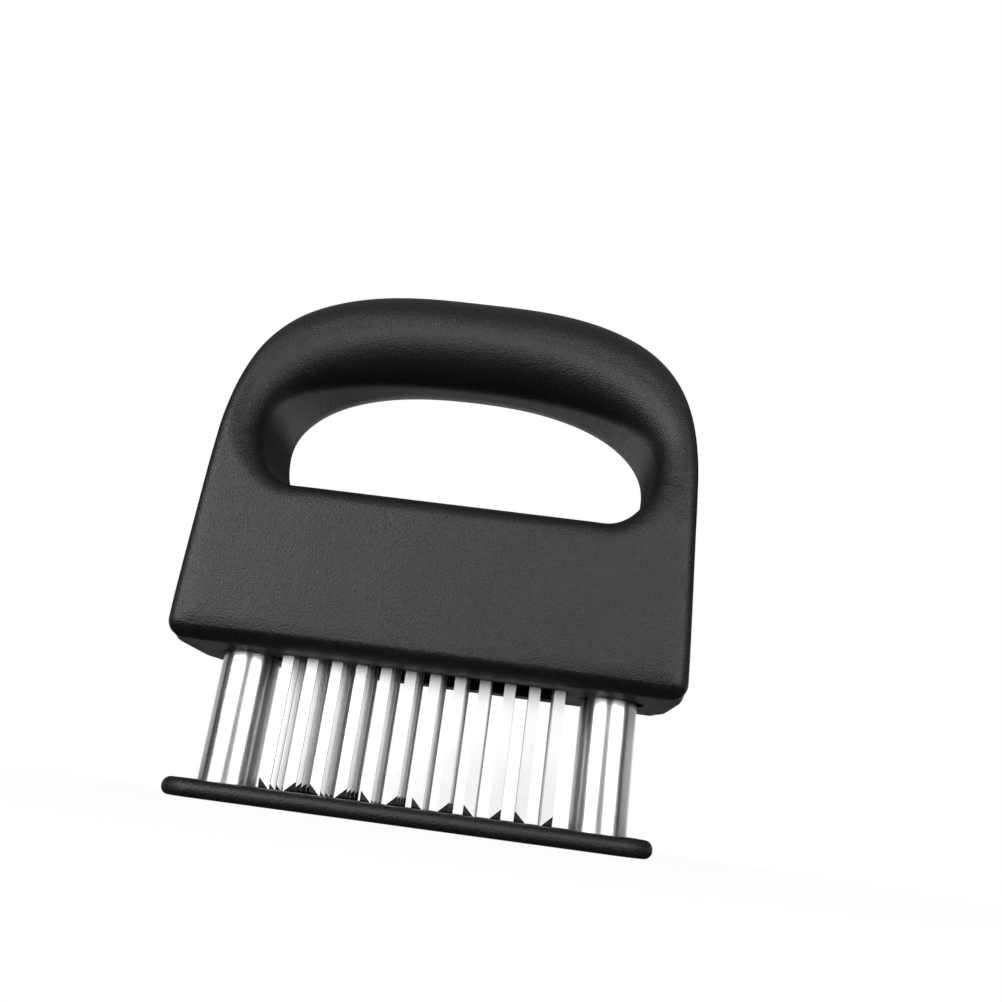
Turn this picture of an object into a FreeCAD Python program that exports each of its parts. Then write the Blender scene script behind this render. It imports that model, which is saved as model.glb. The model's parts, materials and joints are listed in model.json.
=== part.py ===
"""Blade meat tenderizer: a hand press with a D handle, four rows of flat blades and a sprung guard.

Millimetres. +X is to the right, +Y is to the back and +Z is up. The origin is on the surface that
the guard plate stands on, under the middle of the tool.
"""
import FreeCAD, Part
import math
import os

os.makedirs("parts", exist_ok=True)

V = FreeCAD.Vector

# Guard plate
PLATE_OVERHANG = 12.0
PLATE_DEPTH = 36.0
PLATE_THICKNESS = 4.1
PLATE_CORNER = 9.0
PLATE_EDGE_FLAT = 0.1
SLOT_CLEARANCE = 0.4

# Columns that carry the guard plate
COLUMN_INSET = 15.3
COLUMN_DIAMETER = 14.0
COLUMN_WALL = 0.8
COLUMN_SOCKET_DEPTH = 1.2
COLUMN_HOLE_CLEARANCE = 0.35
COLLAR_DIAMETER = 16.8
COLLAR_HEIGHT = 2.0
FOOT_PLUG_HEIGHT = 6.5
GUARD_SCREW_LENGTH = 8.0
GUARD_SCREW_CONE = 1.6
GUARD_SCREW_SINK = 0.2

# Travel of the guard and of its side lock
GUARD_TRAVEL = 27.5
LOCK_TRAVEL = 1.2
LOCK_ENGAGEMENT_GAP = 0.2
STOP_GAP = 0.1
RUNNING_CLEARANCE = 0.05

# Blades
BLADE_ROWS = 4
BLADE_PITCH = 6.0
ROW_PITCH = 6.4
BLADE_WIDTH = 2.7
BLADE_THICKNESS = 0.7
BLADE_GROUP_SHIFT = -0.6
BLADE_END_ROOM = 4.0
BLADE_TIP_BELOW_PLATE_TOP = 2.7
BLADE_BEVEL_RISE = 2.55
BLADE_EDGE_BEVEL = 1.86
BLADE_EDGE_DEPTH = 0.93
BLADE_FIT = 0.03
PIN_DIAMETER = 1.2
PIN_HOLE_CLEARANCE = 0.04

# Housing: lower block
BLOCK_WIDTH_TOP = 120.6
BLOCK_TAPER = 0.8
BLOCK_DEPTH = 46.0
BLOCK_CORNER = 3.5
BLOCK_BOTTOM_ROUND = 3.0
BLOCK_TOP_ROUND = 5.0
UNDERSIDE_ABOVE_PLATE = 31.0
BLOCK_HEIGHT = 40.2
WALL = 2.2
PARTING_Y = 10.5

# Housing: handle
HANDLE_TOP_ABOVE_BLOCK = 63.7
GRIP_THICKNESS = 26.0
GRIP_DEPTH = 29.0
GRIP_FLAT = 0.5
SHOULDER_START = 10.0
SHOULDER_POWER = 2.85
LEG_WIDTH = 10.3
OPENING_WIDEST = 17.0
OPENING_CORNER_REACH = 12.0
FOOT_INSET = 2.0
FOOT_LEDGE = 0.1
FOOT_SINK = 1.0
OPENING_POWER = 2.3
LEG_INNER_ROUND = 7.5
LEG_SHARE = 0.22
LEAST_ROUND = 0.6

# Stations along half of the handle: the share of the way from the block to the crown, the angle on
# the outer outline and the angle on the opening's outline
HANDLE_STATIONS = [
    (0.06, -72.0, -58.0),
    (0.14, -36.0, -36.0),
    (0.22, 0.0, -18.0),
    (0.31, 4.0, 0.0),
    (0.43, 12.0, 13.0),
    (0.55, 27.0, 28.0),
    (0.68, 44.0, 44.0),
    (0.80, 59.0, 60.0),
    (0.91, 76.0, 76.0),
    (1.00, 90.0, 90.0),
]

# Inside the housing
SCREW_RADIUS = 1.45
SCREW_HEAD_RADIUS = 2.8
SCREW_HEAD_HEIGHT = 2.0
SCREW_LENGTH = 14.0
SCREW_CLEARANCE = 0.05
BOSS_RADIUS = 3.6
GRIP_SCREW_INSIDE_COLUMN = 19.0
BLOCK_SCREW_INSIDE_COLUMN = 20.0
BLOCK_SCREW_BELOW_TOP = 11.5
RAIL_CLEARANCE = 0.1
CARRIER_HEIGHT = 12.0
CARRIER_WALL = 0.75
CARRIER_SIDE_WALL = 2.0
CARRIER_CORNER = 0.5
RELIEF_CLEARANCE = 0.25
CLAMP_PLATE_THICKNESS = 2.5
CLAMP_SCREW_RADIUS = 1.0
CLAMP_SCREW_HEAD_RADIUS = 1.9
CLAMP_SCREW_HEAD_HEIGHT = 1.2
CLAMP_SCREW_LENGTH = 9.0
CLAMP_SCREW_EDGE = 5.1
CLAMP_SCREW_INSET = 5.55
RIB_THICKNESS = 2.2
HOLD_DOWN_OVERLAP = 3.0
CARRIAGE_THICKNESS = 3.0
CARRIAGE_END_GAP = 1.4
CARRIAGE_DEPTH = 36.0
CARRIAGE_WINDOW_END_GAP = 1.1
CARRIAGE_WINDOW_GAP = 0.4
CARRIAGE_CORNER = 5.0
BUSHING_WALL = 1.0
BUSHING_HEIGHT = 4.9
SHELF_THICKNESS = 2.0
SPRING_DIAMETER = 9.2
SPRING_WIRE = 1.1
SPRING_TURNS = 14
SEAT_HEIGHT = 2.0
SPIGOT_HEIGHT = 8.0
SPIGOT_CLEARANCE = 0.6
LEAF_THICKNESS = 0.4
LEAF_WIDTH = 4.0
LEAF_LENGTH = 16.0
LEAF_FLAT = 5.0
LEAF_RISE = 1.9
LEAF_END = 2.0
GRIP_SCREW_BELOW_MIDDLE = 1.5
SCREW_HEAD_CLEARANCE = 0.2
CROSS_HALF_LENGTH = 1.7
CROSS_HALF_WIDTH = 0.35
CROSS_DEPTH = 1.1
GUARD_CROSS_DEPTH = 0.8
PIN_HEIGHT_SHARE = 0.6
SHELF_GAP = 0.8
SHELF_HALF_LENGTH = 9.0
SHELF_BACK_Y = 7.0
RAIL_BEYOND_COLUMN = 5.0
HOLD_DOWN_INSET = 5.1
LEAF_RIB_HALF_LENGTH = 9.0
LEAF_RIB_GAP = 0.6
STOP_HALF_DEPTH = 4.0
NECK_CORNER = 1.5
NECK_RELIEF = 0.6
CARRIAGE_WINDOW_CORNER = 1.0
RECESS_END_GAP = 0.3
RECESS_SIDE_GAP = 1.1
RECESS_CORNER = 0.8
OVERLAP = 0.5

# Heights and places that follow from the sizes above
BLADE_TIP_Z = PLATE_THICKNESS - BLADE_TIP_BELOW_PLATE_TOP
BLOCK_WIDTH_BOTTOM = BLOCK_WIDTH_TOP + 2 * BLOCK_TAPER
OPENING_WIDTH = BLOCK_WIDTH_TOP - 2 * LEG_WIDTH
OPENING_FLOOR_WIDTH = OPENING_WIDTH - 2 * OPENING_CORNER_REACH
COLUMN_SPACING = BLOCK_WIDTH_TOP - 2 * COLUMN_INSET
PLATE_LENGTH = COLUMN_SPACING + 2 * PLATE_OVERHANG
CARRIAGE_LENGTH = BLOCK_WIDTH_TOP - 2 * (WALL + LOCK_TRAVEL + CARRIAGE_END_GAP)
BLADE_ROOM = COLUMN_SPACING - COLLAR_DIAMETER - BLADE_END_ROOM - BLADE_WIDTH
BLADES_PER_ROW = int(BLADE_ROOM / BLADE_PITCH) + 1
COLUMN_X = COLUMN_SPACING / 2
GRIP_SCREW_X = COLUMN_X - GRIP_SCREW_INSIDE_COLUMN
BLOCK_SCREW_X = COLUMN_X - BLOCK_SCREW_INSIDE_COLUMN
RAIL_HALF_LENGTH = COLUMN_X + RAIL_BEYOND_COLUMN
COLUMN_RADIUS = COLUMN_DIAMETER / 2
TUBE_BORE = COLUMN_RADIUS - COLUMN_WALL
UNDERSIDE_Z = PLATE_THICKNESS + UNDERSIDE_ABOVE_PLATE
BLOCK_TOP_Z = UNDERSIDE_Z + BLOCK_HEIGHT
HANDLE_TOP_Z = BLOCK_TOP_Z + HANDLE_TOP_ABOVE_BLOCK
OPENING_TOP_Z = HANDLE_TOP_Z - GRIP_THICKNESS
FLOOR_TOP_Z = UNDERSIDE_Z + WALL
CARRIAGE_Z = FLOOR_TOP_Z + STOP_GAP
CARRIAGE_TOP_Z = CARRIAGE_Z + CARRIAGE_THICKNESS
BUSHING_RADIUS = COLUMN_RADIUS + BUSHING_WALL
BUSHING_TOP_Z = CARRIAGE_Z + BUSHING_HEIGHT
COLLAR_Z = BUSHING_TOP_Z + STOP_GAP
COLUMN_TOP_Z = COLLAR_Z + COLLAR_HEIGHT
COLUMN_TOP_RAISED_Z = COLUMN_TOP_Z + GUARD_TRAVEL
SHELF_Z = COLUMN_TOP_RAISED_Z + SHELF_GAP
COLUMN_BOTTOM_Z = PLATE_THICKNESS - COLUMN_SOCKET_DEPTH
PLUG_TOP_Z = COLUMN_BOTTOM_Z + FOOT_PLUG_HEIGHT
SEAT_Z = SHELF_Z - SEAT_HEIGHT
CARRIER_TOP_Z = FLOOR_TOP_Z + CARRIER_HEIGHT
BLADE_TOP_Z = CARRIER_TOP_Z
GUARD_SCREW_TOP_Z = GUARD_SCREW_SINK + GUARD_SCREW_LENGTH
PIN_Z = FLOOR_TOP_Z + PIN_HEIGHT_SHARE * CARRIER_HEIGHT
CLAMP_TOP_Z = CARRIER_TOP_Z + CLAMP_PLATE_THICKNESS
ROW_SPAN = (BLADE_ROWS - 1) * ROW_PITCH
BLADE_SPAN = (BLADES_PER_ROW - 1) * BLADE_PITCH + BLADE_WIDTH
CARRIER_LENGTH = BLADE_SPAN + 2 * CARRIER_WALL
CARRIER_DEPTH = ROW_SPAN + BLADE_THICKNESS + 2 * CARRIER_SIDE_WALL
CARRIAGE_WINDOW_SPARE = abs(BLADE_GROUP_SHIFT) + LOCK_TRAVEL + CARRIAGE_WINDOW_END_GAP
CARRIAGE_WINDOW_LENGTH = CARRIER_LENGTH + 2 * CARRIAGE_WINDOW_SPARE
HOLD_DOWN_HALF_LENGTH = CARRIER_LENGTH / 2 - HOLD_DOWN_INSET
INNER_Y = BLOCK_DEPTH / 2 - WALL
FOOT_X = OPENING_FLOOR_WIDTH / 2 + FOOT_INSET
BLOCK_SCREW_Z = BLOCK_TOP_Z - BLOCK_SCREW_BELOW_TOP
GRIP_MIDDLE_Z = (HANDLE_TOP_Z + OPENING_TOP_Z) / 2
CROSS_ARMS = [(CROSS_HALF_LENGTH, CROSS_HALF_WIDTH), (CROSS_HALF_WIDTH, CROSS_HALF_LENGTH)]
FAR = 200.0


def box(x0, x1, y0, y1, z0, z1):
    """A box between two corners."""
    return Part.makeBox(x1 - x0, y1 - y0, z1 - z0, V(x0, y0, z0))


def tube(x, y, z0, z1, outer, inner=0.0):
    """An upright cylinder or sleeve."""
    solid = Part.makeCylinder(outer, z1 - z0, V(x, y, z0))
    if inner > 0:
        solid = solid.cut(Part.makeCylinder(inner, z1 - z0, V(x, y, z0)))
    return solid


def rod_along(point, direction, length, radius):
    """A cylinder from a point along a direction."""
    return Part.makeCylinder(radius, length, point, direction)


def rounded_wire(origin, along, across, half_along, half_across, radii):
    """A rounded rectangle of four lines and four arcs.

    radii holds the corner radius on the plus side and on the minus side of along.
    """
    plus, minus = radii
    corners = [(1, -1, plus), (1, 1, plus), (-1, 1, minus), (-1, -1, minus)]

    def place(a, b):
        return origin + along * a + across * b

    starts = []
    ends = []
    middles = []
    for sign_a, sign_b, radius in corners:
        centre_a = sign_a * (half_along - radius)
        centre_b = sign_b * (half_across - radius)
        on_across_side = place(centre_a, sign_b * half_across)
        on_along_side = place(sign_a * half_along, centre_b)
        diagonal = radius / math.sqrt(2)
        middles.append(place(centre_a + sign_a * diagonal, centre_b + sign_b * diagonal))
        if sign_a * sign_b < 0:
            starts.append(on_across_side)
            ends.append(on_along_side)
        else:
            starts.append(on_along_side)
            ends.append(on_across_side)
    edges = []
    for index in range(4):
        following = (index + 1) % 4
        edges.append(Part.Arc(starts[index], middles[index], ends[index]).toShape())
        edges.append(Part.LineSegment(ends[index], starts[following]).toShape())
    return Part.Wire(edges)


def flat_rounded(z, half_x, half_y, radius):
    """A rounded rectangle in a level plane."""
    return rounded_wire(V(0, 0, z), V(1, 0, 0), V(0, 1, 0), half_x, half_y, (radius, radius))


def slab(z0, z1, half_x, half_y, radius, centre_x=0.0):
    """A level plate with rounded corners."""
    face = Part.Face(flat_rounded(z0, half_x, half_y, radius))
    solid = face.extrude(V(0, 0, z1 - z0))
    solid.translate(V(centre_x, 0, 0))
    return solid


def obround_hole(x, y, z0, z1, radius, reach):
    """An upright slot whose round ends are at x and at x plus reach."""
    ends = [Part.makeCylinder(radius, z1 - z0, V(x + shift, y, z0)) for shift in (0, reach)]
    middle = box(x, x + reach, y - radius, y + radius, z0, z1)
    return middle.fuse(ends[0]).fuse(ends[1])


def signed_power(value, power):
    return math.copysign(abs(value) ** power, value)


def outer_outline(angle, inset):
    """A point of the handle's outer outline, from the block's top at -90 degrees to the crown at 90."""
    half = BLOCK_WIDTH_TOP / 2 - FOOT_LEDGE - inset
    start_z = BLOCK_TOP_Z + SHOULDER_START
    if angle <= 0:
        drop = SHOULDER_START * min(1.0, -angle / 90.0)
        return V(half, 0, start_z - drop)
    turn = math.radians(angle)
    rise = HANDLE_TOP_Z - inset - start_z
    x = half * signed_power(math.cos(turn), 2 / SHOULDER_POWER)
    z = start_z + rise * signed_power(math.sin(turn), 2 / SHOULDER_POWER)
    return V(x, 0, z)


def inner_outline(angle, inset):
    """A point of the finger opening's outline, from its floor at -90 degrees to its top at 90."""
    half = OPENING_WIDTH / 2 + inset
    middle_z = BLOCK_TOP_Z + OPENING_WIDEST
    turn = math.radians(angle)
    if angle <= 0:
        floor_half = OPENING_FLOOR_WIDTH / 2 + inset
        return V(floor_half + (half - floor_half) * math.cos(turn), 0,
                 middle_z + OPENING_WIDEST * math.sin(turn))
    height = OPENING_TOP_Z + inset - middle_z
    x = half * signed_power(math.cos(turn), 2 / OPENING_POWER)
    z = middle_z + height * signed_power(math.sin(turn), 2 / OPENING_POWER)
    return V(x, 0, z)


def blend(start, end, share):
    """A smooth step from start to end."""
    share = max(0.0, min(1.0, share))
    return start + (end - start) * share * share * (3 - 2 * share)


def handle_section(outer_point, inner_point, share, inset):
    """The outline of one cross-section. share runs from 0 at the block to 1 at the crown."""
    span = outer_point - inner_point
    half_span = span.Length / 2
    middle = (outer_point + inner_point) * 0.5
    half_depth = blend(BLOCK_DEPTH, GRIP_DEPTH, share) / 2 - FOOT_LEDGE - inset
    grip_round = (GRIP_THICKNESS - GRIP_FLAT) / 2
    outer_round = blend(BLOCK_CORNER, grip_round, (share - LEG_SHARE) / (1 - LEG_SHARE))
    if share < LEG_SHARE:
        inner_round = blend(BLOCK_TOP_ROUND, LEG_INNER_ROUND, share / LEG_SHARE)
    else:
        inner_round = blend(LEG_INNER_ROUND, grip_round, (share - LEG_SHARE) / (1 - LEG_SHARE))
    inner_round = min(inner_round, 2 * (half_span + inset) - GRIP_FLAT - outer_round)
    radii = (max(outer_round - inset, LEAST_ROUND), max(inner_round - inset, LEAST_ROUND))
    return rounded_wire(middle, span.normalize(), V(0, 1, 0), half_span, half_depth, radii)


def handle(inset):
    """The arched handle, as a loft from the right foot over the crown to the left foot."""
    foot_outer = V(BLOCK_WIDTH_TOP / 2 - FOOT_LEDGE - inset, 0, BLOCK_TOP_Z - FOOT_SINK)
    foot_inner = V(FOOT_X + inset, 0, BLOCK_TOP_Z - FOOT_SINK)
    stations = [(foot_outer, foot_inner, 0.0)]
    for share, outer_angle, inner_angle in HANDLE_STATIONS:
        stations.append((outer_outline(outer_angle, inset), inner_outline(inner_angle, inset), share))
    wires = [handle_section(outer, inner, share, inset) for outer, inner, share in stations]
    for outer, inner, share in reversed(stations[:-1]):
        wires.append(handle_section(V(-outer.x, 0, outer.z), V(-inner.x, 0, inner.z), share, inset))
    return Part.makeLoft(wires, True, False, False)


def block():
    """The lower block, slightly narrower at the top, with its bottom edge rounded."""
    bottom = flat_rounded(UNDERSIDE_Z, BLOCK_WIDTH_BOTTOM / 2, BLOCK_DEPTH / 2, BLOCK_CORNER)
    top = flat_rounded(BLOCK_TOP_Z, BLOCK_WIDTH_TOP / 2, BLOCK_DEPTH / 2, BLOCK_CORNER)
    solid = Part.makeLoft([bottom, top], True, True, False)
    bottom_edges = []
    for edge in solid.Edges:
        bounds = edge.BoundBox
        if bounds.ZMax < UNDERSIDE_Z + 0.001:
            bottom_edges.append(edge)
    return solid.makeFillet(BLOCK_BOTTOM_ROUND, bottom_edges)


def top_edge_rounding(side):
    """What the rounding of the block's top edge takes away, on the front (-1) or the back (1)."""
    radius = BLOCK_TOP_ROUND
    half = FOOT_X
    centre_y = side * (BLOCK_DEPTH / 2 - radius)
    edge_y = side * (BLOCK_DEPTH / 2 + 1)
    corner = box(-half, half, min(centre_y, edge_y), max(centre_y, edge_y),
                 BLOCK_TOP_Z - radius, BLOCK_TOP_Z + 1)
    rounding = Part.makeCylinder(radius, 2 * half, V(-half, centre_y, BLOCK_TOP_Z - radius), V(1, 0, 0))
    return corner.cut(rounding)


def housing_outside():
    """The outer form of both shells together."""
    solid = block().cut(top_edge_rounding(-1)).cut(top_edge_rounding(1))
    solid = solid.fuse(handle(0.0))
    return solid


def housing_cavity():
    """The hollow inside the shells."""
    half_top = BLOCK_WIDTH_TOP / 2 - WALL
    lower = slab(FLOOR_TOP_Z, BLOCK_TOP_Z - WALL, half_top, INNER_Y, BLOCK_CORNER - WALL)
    upper = handle(WALL)
    neck_half_x = (half_top - FOOT_X - WALL) / 2 - NECK_RELIEF
    for side in (-1, 1):
        middle = side * (half_top + FOOT_X + WALL) / 2
        neck = slab(BLOCK_TOP_Z - WALL - OVERLAP, BLOCK_TOP_Z + OVERLAP, neck_half_x,
                    INNER_Y - NECK_RELIEF, NECK_CORNER, middle)
        lower = lower.fuse(neck)
    return lower.fuse(upper)


def blade_x(index):
    """The middle of a blade, counted from the left."""
    return BLADE_GROUP_SHIFT + (index - (BLADES_PER_ROW - 1) / 2) * BLADE_PITCH


def row_y(row):
    """The middle plane of a row of blades, counted from the front."""
    return (row - (BLADE_ROWS - 1) / 2) * ROW_PITCH


def screw_places():
    """The axes of the shell screws, seen from the back."""
    places = []
    for side in (-1, 1):
        places.append((side * GRIP_SCREW_X, GRIP_MIDDLE_Z - GRIP_SCREW_BELOW_MIDDLE))
        places.append((side * BLOCK_SCREW_X, BLOCK_SCREW_Z))
    return places


def screw_seat_y():
    """Where the shell screws' heads bear."""
    return PARTING_Y + WALL


def half_space(side):
    """All that is in front of the parting plane (-1) or behind it (1)."""
    if side < 0:
        return box(-FAR, FAR, -FAR, PARTING_Y, -FAR, FAR)
    return box(-FAR, FAR, PARTING_Y, FAR, -FAR, FAR)


def recess_window():
    """The opening in the housing's floor that the blades pass through."""
    low = UNDERSIDE_Z - OVERLAP
    high = FLOOR_TOP_Z + OVERLAP
    half_x = BLADE_SPAN / 2 + RECESS_END_GAP
    half_y = ROW_SPAN / 2 + BLADE_THICKNESS / 2 + RECESS_SIDE_GAP
    return slab(low, high, half_x, half_y, RECESS_CORNER, BLADE_GROUP_SHIFT)


def column_holes():
    """The slots in the housing's floor for the columns, long enough for the side lock."""
    radius = COLUMN_RADIUS + COLUMN_HOLE_CLEARANCE
    low = UNDERSIDE_Z - OVERLAP
    high = FLOOR_TOP_Z + OVERLAP
    left = obround_hole(-COLUMN_X, 0, low, high, radius, LOCK_TRAVEL)
    right = obround_hole(COLUMN_X, 0, low, high, radius, LOCK_TRAVEL)
    return left.fuse(right)


def inner_ribs():
    """Rails, hold-downs, spring shelves and the lock stop inside the shells."""
    over = INNER_Y + 1
    ribs = []
    rail_inner = CARRIAGE_DEPTH / 2 + RAIL_CLEARANCE
    for side in (-1, 1):
        low, high = sorted((side * rail_inner, side * over))
        ribs.append(box(-RAIL_HALF_LENGTH, RAIL_HALF_LENGTH, low, high,
                        FLOOR_TOP_Z - OVERLAP, CARRIAGE_TOP_Z))
        reach = PARTING_Y if side > 0 else CARRIER_DEPTH / 2 - HOLD_DOWN_OVERLAP
        low, high = sorted((side * reach, side * over))
        ribs.append(box(-HOLD_DOWN_HALF_LENGTH, HOLD_DOWN_HALF_LENGTH, low, high,
                        CLAMP_TOP_Z, CLAMP_TOP_Z + RIB_THICKNESS))
        leaf_top = CARRIAGE_TOP_Z + RUNNING_CLEARANCE + LEAF_RISE + LEAF_THICKNESS
        low, high = sorted((side * (CARRIER_DEPTH / 2 + LEAF_RIB_GAP), side * over))
        ribs.append(box(-LEAF_RIB_HALF_LENGTH, LEAF_RIB_HALF_LENGTH, low, high,
                        leaf_top, leaf_top + RIB_THICKNESS))
        middle = side * COLUMN_X
        ribs.append(box(middle - SHELF_HALF_LENGTH, middle + SHELF_HALF_LENGTH, -over, SHELF_BACK_Y,
                        SHELF_Z, SHELF_Z + SHELF_THICKNESS))
    stop_x = COLUMN_X + COLLAR_DIAMETER / 2 + LOCK_ENGAGEMENT_GAP
    stop_low = COLUMN_TOP_Z + LOCK_ENGAGEMENT_GAP
    stop_high = COLLAR_Z + GUARD_TRAVEL - LOCK_ENGAGEMENT_GAP
    ribs.append(box(stop_x, BLOCK_WIDTH_TOP / 2 - OVERLAP, -STOP_HALF_DEPTH, STOP_HALF_DEPTH,
                    stop_low, stop_high))
    return ribs


def shells():
    """The deep front shell and the shallow back shell."""
    outside = housing_outside()
    hollow = outside.cut(housing_cavity())
    additions = inner_ribs()
    for x, z in screw_places():
        additions.append(rod_along(V(x, -FAR, z), V(0, 1, 0), 2 * FAR, BOSS_RADIUS))
    solid = hollow
    for addition in additions:
        solid = solid.fuse(addition.common(outside))
    solid = solid.cut(recess_window()).cut(column_holes())
    for x, z in screw_places():
        seat = screw_seat_y()
        pilot_start = seat - SCREW_LENGTH
        solid = solid.cut(rod_along(V(x, pilot_start, z), V(0, 1, 0), SCREW_LENGTH + FAR,
                                    SCREW_RADIUS + SCREW_CLEARANCE))
        solid = solid.cut(rod_along(V(x, seat, z), V(0, 1, 0), FAR,
                                    SCREW_HEAD_RADIUS + SCREW_HEAD_CLEARANCE))
    front = solid.common(half_space(-1))
    back = solid.common(half_space(1))
    return front, back


def shell_screws():
    """Pan-head screws that hold the back shell to the front shell's bosses."""
    screws = []
    for x, z in screw_places():
        seat = screw_seat_y()
        shank = rod_along(V(x, seat - SCREW_LENGTH, z), V(0, 1, 0), SCREW_LENGTH, SCREW_RADIUS)
        head = rod_along(V(x, seat, z), V(0, 1, 0), SCREW_HEAD_HEIGHT, SCREW_HEAD_RADIUS)
        screw = shank.fuse(head)
        top = seat + SCREW_HEAD_HEIGHT
        for along, across in CROSS_ARMS:
            screw = screw.cut(box(x - along, x + along, top - CROSS_DEPTH, top + 1, z - across, z + across))
        screws.append(screw)
    return Part.makeCompound(screws)


def blade_slope(x, index):
    """The two ends of a blade's slanting edge. It is low on the right and on the left in turn."""
    half = BLADE_WIDTH / 2
    low = BLADE_TIP_Z
    high = BLADE_TIP_Z + BLADE_BEVEL_RISE
    left, right = (high, low) if index % 2 == 0 else (low, high)
    return V(x - half, 0, left), V(x + half, 0, right)


def blade(x, y, index):
    """One flat blade with a slanting, ground edge and a hole for its pin."""
    front = V(0, y - BLADE_THICKNESS / 2, 0)
    start, end = [point + front for point in blade_slope(x, index)]
    corners = [start, end, V(end.x, front.y, BLADE_TOP_Z), V(start.x, front.y, BLADE_TOP_Z), start]
    solid = Part.Face(Part.makePolygon(corners)).extrude(V(0, BLADE_THICKNESS, 0))
    slope = end - start
    inward = V(-slope.z, 0, slope.x).normalize()
    on_face = start + inward * BLADE_EDGE_BEVEL
    on_edge = start + V(0, BLADE_THICKNESS * BLADE_EDGE_DEPTH, 0)
    beyond = (on_face - on_edge) / 3
    outside = start - inward - V(0, 1, 0)
    profile = [on_face + beyond, on_edge - beyond, outside, on_face + beyond]
    wedge = Part.Face(Part.makePolygon(profile)).extrude(slope * 3)
    wedge.translate(slope * -1)
    hole = rod_along(V(x, y - BLADE_THICKNESS, PIN_Z), V(0, 1, 0), 2 * BLADE_THICKNESS,
                     PIN_DIAMETER / 2 + PIN_HOLE_CLEARANCE)
    return solid.cut(wedge).cut(hole)


def blade_row(row):
    """A row of blades side by side."""
    return Part.makeCompound([blade(blade_x(index), row_y(row), index) for index in range(BLADES_PER_ROW)])


def collar_relief():
    """The room that the left collar and bushing need beside the carrier when the lock moves."""
    radius = COLLAR_DIAMETER / 2 + RELIEF_CLEARANCE
    return obround_hole(-COLUMN_X, 0, FLOOR_TOP_Z - 1, CLAMP_TOP_Z + 1, radius, LOCK_TRAVEL)


def clamp_screw_places():
    """The screws at the ends of the carrier, two at each end."""
    x = CARRIER_LENGTH / 2 - CLAMP_SCREW_EDGE
    y = CARRIER_DEPTH / 2 - CLAMP_SCREW_INSET
    return [(BLADE_GROUP_SHIFT + sign_x * x, sign_y * y) for sign_x in (-1, 1) for sign_y in (-1, 1)]


def blade_carrier():
    """The block that the blades stand in, with a slot for each blade and a bore for each pin."""
    solid = slab(FLOOR_TOP_Z, CARRIER_TOP_Z, CARRIER_LENGTH / 2, CARRIER_DEPTH / 2, CARRIER_CORNER,
                 BLADE_GROUP_SHIFT)
    half_x = BLADE_WIDTH / 2 + BLADE_FIT
    half_y = BLADE_THICKNESS / 2 + BLADE_FIT
    cutters = []
    for index in range(BLADES_PER_ROW):
        x = blade_x(index)
        for row in range(BLADE_ROWS):
            y = row_y(row)
            cutters.append(box(x - half_x, x + half_x, y - half_y, y + half_y,
                               FLOOR_TOP_Z - 1, CARRIER_TOP_Z + 1))
        cutters.append(rod_along(V(x, -CARRIER_DEPTH / 2 - 1, PIN_Z), V(0, 1, 0), CARRIER_DEPTH + 2,
                                 PIN_DIAMETER / 2))
    for x, y in clamp_screw_places():
        cutters.append(tube(x, y, CLAMP_TOP_Z - CLAMP_SCREW_LENGTH, CARRIER_TOP_Z + 1,
                            CLAMP_SCREW_RADIUS + SCREW_CLEARANCE))
    cutters.append(collar_relief())
    return solid.cut(cutters)


def blade_clamp_plate():
    """The plate on top of the carrier that keeps the blades down."""
    solid = slab(CARRIER_TOP_Z, CLAMP_TOP_Z, CARRIER_LENGTH / 2, CARRIER_DEPTH / 2, CARRIER_CORNER,
                 BLADE_GROUP_SHIFT)
    cutters = [collar_relief()]
    for x, y in clamp_screw_places():
        cutters.append(tube(x, y, CARRIER_TOP_Z - 1, CLAMP_TOP_Z + 1, CLAMP_SCREW_RADIUS + SCREW_CLEARANCE))
        cutters.append(tube(x, y, CLAMP_TOP_Z - CLAMP_SCREW_HEAD_HEIGHT, CLAMP_TOP_Z + 1,
                            CLAMP_SCREW_HEAD_RADIUS + SCREW_CLEARANCE))
    return solid.cut(cutters)


def clamp_screws():
    """Small screws that hold the clamp plate on the carrier."""
    screws = []
    for x, y in clamp_screw_places():
        shank = tube(x, y, CLAMP_TOP_Z - CLAMP_SCREW_LENGTH, CLAMP_TOP_Z, CLAMP_SCREW_RADIUS)
        head = tube(x, y, CLAMP_TOP_Z - CLAMP_SCREW_HEAD_HEIGHT, CLAMP_TOP_Z, CLAMP_SCREW_HEAD_RADIUS)
        screws.append(shank.fuse(head))
    return Part.makeCompound(screws)


def blade_pins():
    """Pins from front to back, each through one blade of every row."""
    pins = []
    for index in range(BLADES_PER_ROW):
        start = V(blade_x(index), -CARRIER_DEPTH / 2, PIN_Z)
        pins.append(rod_along(start, V(0, 1, 0), CARRIER_DEPTH, PIN_DIAMETER / 2))
    return Part.makeCompound(pins)


def lock_carriage():
    """The flat frame round the blade carrier that lets the columns shift sideways to lock."""
    solid = slab(CARRIAGE_Z, CARRIAGE_TOP_Z, CARRIAGE_LENGTH / 2, CARRIAGE_DEPTH / 2, CARRIAGE_CORNER)
    window = slab(CARRIAGE_Z - 1, CARRIAGE_TOP_Z + 1, CARRIAGE_WINDOW_LENGTH / 2,
                  CARRIER_DEPTH / 2 + CARRIAGE_WINDOW_GAP, CARRIAGE_WINDOW_CORNER)
    bores = [tube(side * COLUMN_X, 0, CARRIAGE_Z - 1, CARRIAGE_TOP_Z + 1, BUSHING_RADIUS)
             for side in (-1, 1)]
    return solid.cut([window] + bores)


def bushing(side):
    """A plain bearing sleeve for a column."""
    return tube(side * COLUMN_X, 0, CARRIAGE_Z, BUSHING_TOP_Z, BUSHING_RADIUS,
                COLUMN_RADIUS + RUNNING_CLEARANCE)


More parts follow.
